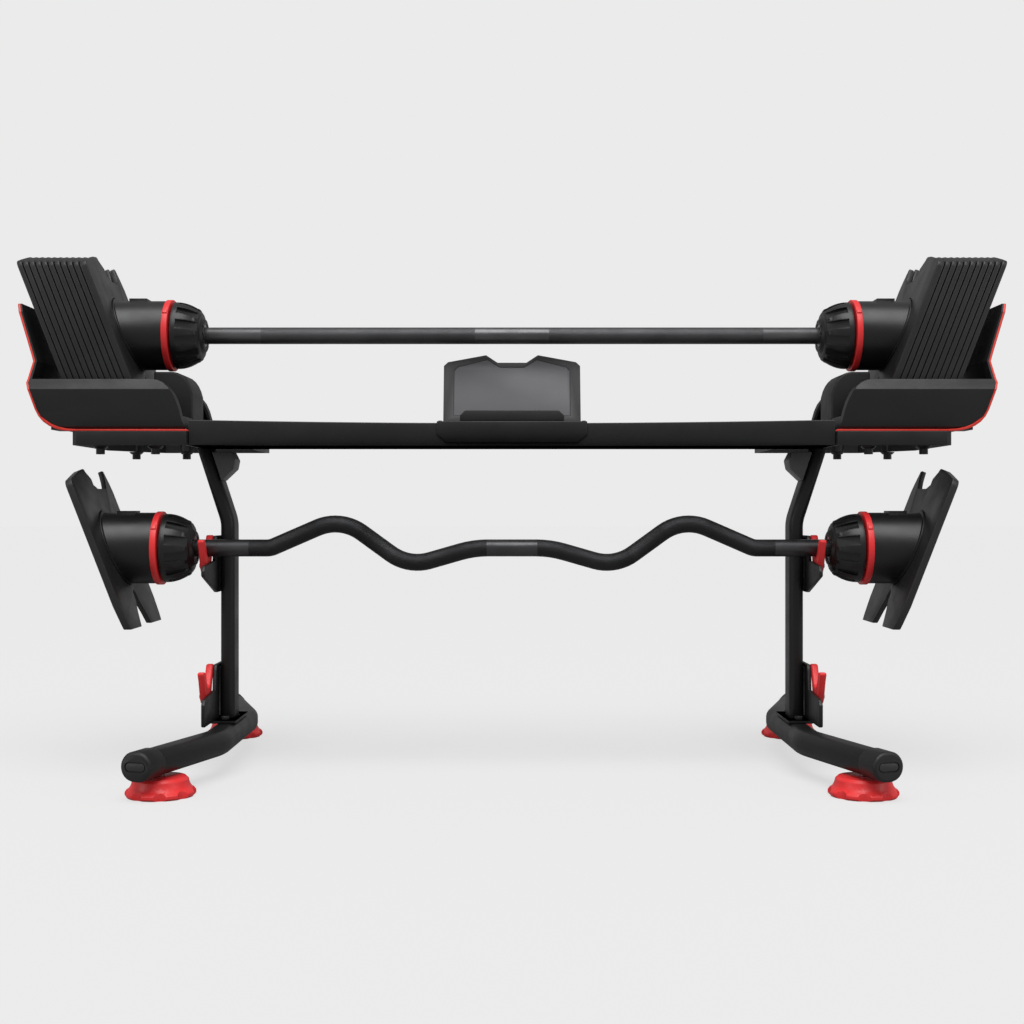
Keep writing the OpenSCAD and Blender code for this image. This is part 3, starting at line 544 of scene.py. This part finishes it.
# ---- Media rack ------------------------------------------------------------
# A folded bracket over the crossbeam holds a leaning moulded panel with a
# blue-grey film inset, and a low lip in front that a tablet stands behind.

panel_grey = coated(
    "rack panel grey", (0.045, 0.045, 0.047), (0.055, 0.055, 0.058), (0.42, 0.52),
    (1900.0, 0.3, 0.0001), (0.0012, 0.4, (0.2, 0.2, 0.21)),
)
film_grey = coated(
    "rack film grey", (0.100, 0.100, 0.108), (0.118, 0.118, 0.126), (0.38, 0.46),
    (2600.0, 0.5, 0.00005), (0.0008, 0.2, (0.25, 0.25, 0.27)),
)
bracket = eased(as_made("rack_bracket", "rack_saddle"), 0.0012, 2)
mounted(bracket, black_coat, "rack_paint", "rack_bracket")
panel = eased(as_made("rack_panel", "rack_back"), 0.0015, 3)
mounted(panel, panel_grey, "rack_panel_plastic", "rack_panel")
inset = eased(as_made("rack_inset", "rack_film"), 0.0004, 2)
mounted(inset, film_grey, "rack_inset_plastic", "rack_inset")
lip = eased(as_made("rack_lip", "rack_front_lip"), 0.0015, 3)
mounted(lip, tray_skin, "tray_plastic", "rack_lip")

# ---- Bars ------------------------------------------------------------------
# Dark plated steel bars, 28.5 mm thick, knurled where they are gripped and
# plain at the middle and next to the dials. The curl bar is bent cold.

knurl_group, start, end = new_group(
    "diamond knurl",
    [
        ("Round", VECTOR, (0, 0, 0)), ("Across", FLOAT, 0.0),
        ("Plain middle", FLOAT, 0.06), ("Plain ends", FLOAT, 0.43),
    ],
    [("Height", FLOAT), ("Knurled", FLOAT)],
)
parts = wired(knurl_group, "ShaderNodeSeparateXYZ", links={0: start.outputs["Round"]})
angle = wired(
    knurl_group, "ShaderNodeMath", settings={"operation": "ARCTAN2"},
    links={0: parts.outputs["X"], 1: parts.outputs["Y"]},
)
teeth = wired(
    knurl_group, "ShaderNodeMath", settings={"operation": "MULTIPLY"}, values={1: 30.0},
    links={0: angle.outputs["Value"]},
)
pitch = wired(
    knurl_group, "ShaderNodeMath", settings={"operation": "MULTIPLY"}, values={1: 2100.0},
    links={0: parts.outputs["Z"]},
)
ridges = []
for way in ("ADD", "SUBTRACT"):
    helix = wired(
        knurl_group, "ShaderNodeMath", settings={"operation": way},
        links={0: teeth.outputs["Value"], 1: pitch.outputs["Value"]},
    )
    ridges.append(wired(
        knurl_group, "ShaderNodeMath", settings={"operation": "SINE"},
        links={0: helix.outputs["Value"]},
    ))
diamonds = wired(
    knurl_group, "ShaderNodeMath", settings={"operation": "MINIMUM"},
    links={0: ridges[0].outputs["Value"], 1: ridges[1].outputs["Value"]},
)
reach = wired(
    knurl_group, "ShaderNodeMath", settings={"operation": "ABSOLUTE"},
    links={0: start.outputs["Across"]},
)
off_middle = wired(
    knurl_group, "ShaderNodeMath", settings={"operation": "GREATER_THAN"},
    links={0: reach.outputs["Value"], 1: start.outputs["Plain middle"]},
)
off_ends = wired(
    knurl_group, "ShaderNodeMath", settings={"operation": "LESS_THAN"},
    links={0: reach.outputs["Value"], 1: start.outputs["Plain ends"]},
)
zone = wired(
    knurl_group, "ShaderNodeMath", settings={"operation": "MULTIPLY"},
    links={0: off_middle.outputs["Value"], 1: off_ends.outputs["Value"]},
)
cut = wired(
    knurl_group, "ShaderNodeMath", settings={"operation": "MULTIPLY"},
    links={0: zone.outputs["Value"], 1: diamonds.outputs["Value"]},
)
knurl_group.links.new(cut.outputs["Value"], end.inputs["Height"])
knurl_group.links.new(zone.outputs["Value"], end.inputs["Knurled"])


def bar_finish(name, plain_middle, plain_ends, plain, knurled):
    """Plated steel whose knurl follows the bar, by the angle round it and the way along it."""
    finish = bpy.data.materials.new(name)
    finish.use_nodes = True
    tree = finish.node_tree
    shader = tree.nodes["Principled BSDF"]
    shader.inputs["Metallic"].default_value = 0.85
    where = tree.nodes.new("ShaderNodeTexCoord").outputs["Object"]
    across = wired(tree, "ShaderNodeSeparateXYZ", links={0: where})
    round_bar = wired(tree, "ShaderNodeAttribute", settings={"attribute_name": "grip"})
    knurl = wired(
        tree, "ShaderNodeGroup", settings={"node_tree": knurl_group},
        values={"Plain middle": plain_middle, "Plain ends": plain_ends},
        links={"Round": round_bar.outputs["Vector"], "Across": across.outputs["X"]},
    )
    shade = wired(
        tree, "ShaderNodeMix", settings={"data_type": "RGBA"},
        links={"Factor": knurl.outputs["Knurled"]},
    )
    shade.inputs[6].default_value = (*plain, 1)
    shade.inputs[7].default_value = (*knurled, 1)
    hand_marks = wired(
        tree, "ShaderNodeGroup", settings={"node_tree": drift_group},
        values={"Scale": 14.0, "From": 0.85, "To": 1.15}, links={"Where": where},
    )
    tint = wired(
        tree, "ShaderNodeVectorMath", settings={"operation": "SCALE"},
        links={0: shade.outputs[2], "Scale": hand_marks.outputs["Value"]},
    )
    tree.links.new(tint.outputs["Vector"], shader.inputs["Base Color"])
    sheen = wired(
        tree, "ShaderNodeGroup", settings={"node_tree": drift_group},
        values={"Scale": 40.0, "From": 0.34, "To": 0.46}, links={"Where": where},
    )
    tree.links.new(sheen.outputs["Value"], shader.inputs["Roughness"])
    skin = wired(
        tree, "ShaderNodeGroup", settings={"node_tree": grain_group},
        values={"Scale": 3200.0, "Waviness": 0.6}, links={"Where": where},
    )
    fine = wired(
        tree, "ShaderNodeMath", settings={"operation": "MULTIPLY_ADD"}, values={1: 0.15},
        links={0: skin.outputs["Height"], 2: knurl.outputs["Height"]},
    )
    bump = wired(
        tree, "ShaderNodeBump", values={"Strength": 0.8, "Distance": 0.00018},
        links={"Height": fine.outputs["Value"]},
    )
    tree.links.new(bump.outputs["Normal"], shader.inputs["Normal"])
    return finish


def mark_grip(piece, centre_line):
    """Stores, for each vertex, the way round the bar and how far along it it lies."""
    grip = piece.data.attributes.new("grip", "FLOAT_VECTOR", "POINT")
    for vertex in piece.data.vertices:
        grip.data[vertex.index].vector = centre_line(vertex.co)


STRAIGHT_Z = 0.733
CURL_AXIS = (-0.075, 0.370)

straight_bar = eased(as_made("straight_shaft", "straight_bar"), 0.0006, 2)
mark_grip(straight_bar, lambda at: (at.z - STRAIGHT_Z, at.y, at.x))
straight_steel = bar_finish(
    "straight bar steel", 0.0636, 0.430, (0.125, 0.125, 0.129), (0.085, 0.085, 0.088)
)
mounted(straight_bar, straight_steel, "bar_steel", "straight_shaft")

# the curl bar from its middle outwards: straight run, turn upwards in degrees, bend radius
CURL_STEPS = (
    (0.040, -16, 0.168), (0.053, 52, 0.075), (0.060, -59.5, 0.075), (0.0785, 23.5, 0.030),
    (0.40, 0, 0),
)
curl_line = [(0.0, 0.0, 0.0, 0.0)]
for straight, turn, radius in CURL_STEPS:
    for length, change in ((straight, 0.0), (abs(math.radians(turn)) * radius, turn)):
        pieces = max(1, round(length / 0.002))
        for _ in range(pieces if length else 0):
            x, z, heading, along = curl_line[-1]
            heading += math.radians(change) / pieces
            x += math.cos(heading) * length / pieces
            z += math.sin(heading) * length / pieces
            curl_line.append((x, z, heading, along + length / pieces))
# the line starts level at the middle, and its ends lie on the bar's axis
END_HEIGHT = curl_line[-1][1]


def curl_centre(at):
    """How a point of the curl bar lies to its bent middle line."""
    out, height = abs(at.x), at.z - CURL_AXIS[1] + END_HEIGHT
    x, z, heading, along = min(
        curl_line, key=lambda point: (point[0] - out) ** 2 + (point[1] - height) ** 2
    )
    across, rise = out - x, height - z
    up = rise * math.cos(heading) - across * math.sin(heading)
    return up, at.y - CURL_AXIS[0], math.copysign(along, at.x)


curl_bar = eased(as_made("curl_shaft", "curl_bar"), 0.0006, 2, 40)
mark_grip(curl_bar, curl_centre)
curl_steel = bar_finish("curl bar steel", 0.042, 0.437, (0.085, 0.085, 0.089), (0.035, 0.035, 0.037))
mounted(curl_bar, curl_steel, "bar_steel", "curl_shaft")

# ---- Hubs and rings --------------------------------------------------------
# Glass-filled nylon housings between dial and plates, each with a collar at
# its plate and a red ring whose small pointer shows the weight picked.

hub_nylon = coated(
    "hub nylon", (0.0065, 0.0065, 0.0068), (0.0090, 0.0090, 0.0094), (0.34, 0.44),
    (2000.0, 0.35, 0.00006), (0.0014, 0.3, (0.08, 0.08, 0.085)),
)
for bar in ("straight", "curl"):
    for side in ("left", "right"):
        which = bar + "_" + side
        hub = eased(as_made(which + "_hub", "hub_" + which), 0.0015, 3)
        mounted(hub, hub_nylon, "hub_plastic", which + "_hub")
        ring = eased(as_made(which + "_ring", "ring_" + which), 0.0012, 3)
        mounted(ring, red_nylon, "red_plastic", which + "_ring")

# ---- Dials -----------------------------------------------------------------
# Fluted hand dials that turn to pick the weight. They are moulded in the same
# nylon as the hubs and pressed on to the selector sleeves.

for bar in ("straight", "curl"):
    for side in ("left", "right"):
        which = bar + "_" + side
        dial = eased(as_made(which + "_dial", "dial_" + which), 0.0012, 2)
        mounted(dial, hub_nylon, "hub_plastic", which + "_dial")
        selector = eased(as_made(which + "_selector", "selector_" + which), 0.0006, 2)
        mounted(selector, plated, "selector_steel", which + "_selector")

# ---- Weight plates ---------------------------------------------------------
# Steel plates in a moulded black coating, leaning outwards in the trays. The
# end plate is fixed to its hub, and the loose ones have a slot for the bar.

plate_skin = coated(
    "plate coating", (0.014, 0.014, 0.0145), (0.019, 0.019, 0.0195), (0.34, 0.46),
    (1700.0, 0.3, 0.00009), (0.0014, 0.45, (0.11, 0.11, 0.115)),
)
for bar in ("straight", "curl"):
    for side in ("left", "right"):
        which = bar + "_" + side
        plate = eased(as_made(which + "_end_plate", "end_plate_" + which), 0.0012, 3)
        mounted(plate, plate_skin, "plate_coating", which + "_end_plate")
for number in range(1, 11):
    node = f"plate_pair_{number:02d}"
    pair = eased(as_made(node, f"loose_plates_{number:02d}"), 0.0014, 3)
    mounted(pair, plate_skin, "plate_coating", node)

# ---- Floor, light and camera -----------------------------------------------
# A plain pale floor that runs into a pale backdrop of the same brightness, one
# broad soft light from above and in front, and two side lights for the edges.

bpy.context.scene.view_settings.view_transform = "Standard"
bpy.ops.object.select_all(action="DESELECT")
bpy.ops.mesh.primitive_plane_add(size=80, location=(0, 0, 0))
floor = bpy.context.active_object
floor.name = "floor"
pale = bpy.data.materials.new("pale floor")
pale.use_nodes = True
tree = pale.node_tree
floor_shader = tree.nodes["Principled BSDF"]
floor_shader.inputs["Base Color"].default_value = (0.20, 0.20, 0.20, 1)
# a glow of its own keeps the floor's soft shadows pale
floor_shader.inputs["Emission Color"].default_value = (1, 1, 1, 1)
floor_shader.inputs["Emission Strength"].default_value = 0.62
floor_shader.inputs["Roughness"].default_value = 1.0
floor_shader.inputs["Specular IOR Level"].default_value = 0.0
ray = tree.nodes.new("ShaderNodeLightPath")
# the set itself is lit by a duller floor than the one that is seen
dull = wired(tree, "ShaderNodeBsdfDiffuse", values={"Color": (0.30, 0.30, 0.30, 1)})
seen = wired(tree, "ShaderNodeMixShader", links={0: ray.outputs["Is Camera Ray"]})
tree.links.new(dull.outputs["BSDF"], seen.inputs[1])
tree.links.new(floor_shader.outputs["BSDF"], seen.inputs[2])
tree.links.new(seen.outputs["Shader"], tree.nodes["Material Output"].inputs["Surface"])
floor.data.materials.append(pale)

world = bpy.data.worlds.new("studio")
bpy.context.scene.world = world
world.use_nodes = True
tree = world.node_tree
sky = tree.nodes["Background"]
sky.inputs["Color"].default_value = (1, 1, 1, 1)
sky.inputs["Strength"].default_value = 0.32
ray = tree.nodes.new("ShaderNodeLightPath")
backdrop = wired(
    tree, "ShaderNodeBackground", values={"Color": (0.83, 0.83, 0.83, 1), "Strength": 1.0}
)
seen = wired(tree, "ShaderNodeMixShader", links={0: ray.outputs["Is Camera Ray"]})
tree.links.new(sky.outputs["Background"], seen.inputs[1])
tree.links.new(backdrop.outputs["Background"], seen.inputs[2])
tree.links.new(seen.outputs["Shader"], tree.nodes["World Output"].inputs["Surface"])


def lit(name, lamp, at, towards):
    """Puts a lamp in place and points it."""
    holder = bpy.data.objects.new(name, lamp)
    bpy.context.scene.collection.objects.link(holder)
    holder.location = at
    holder.rotation_euler = (Vector(towards) - Vector(at)).to_track_quat("-Z", "Y").to_euler()


overhead = bpy.data.lights.new("overhead light", "SUN")
overhead.energy = 2.35
overhead.angle = math.radians(50)
lit("overhead light", overhead, (0.0, -1.5, 3.2), (0, 0, 0))
for name, x in (("left light", -3.0), ("right light", 3.0)):
    strip = bpy.data.lights.new(name, "AREA")
    strip.shape = "RECTANGLE"
    strip.size, strip.size_y = 0.8, 2.4
    strip.energy = 14
    lit(name, strip, (x, -1.6, 1.3), (0, 0, 0.5))

view = bpy.data.cameras.new("camera")
view.lens = 50
view.sensor_width = 36
camera = bpy.data.objects.new("camera", view)
bpy.context.scene.collection.objects.link(camera)
camera.location = (0, -2.446, 0.430)
camera.rotation_euler = (math.pi / 2, 0, 0)
bpy.context.scene.camera = camera
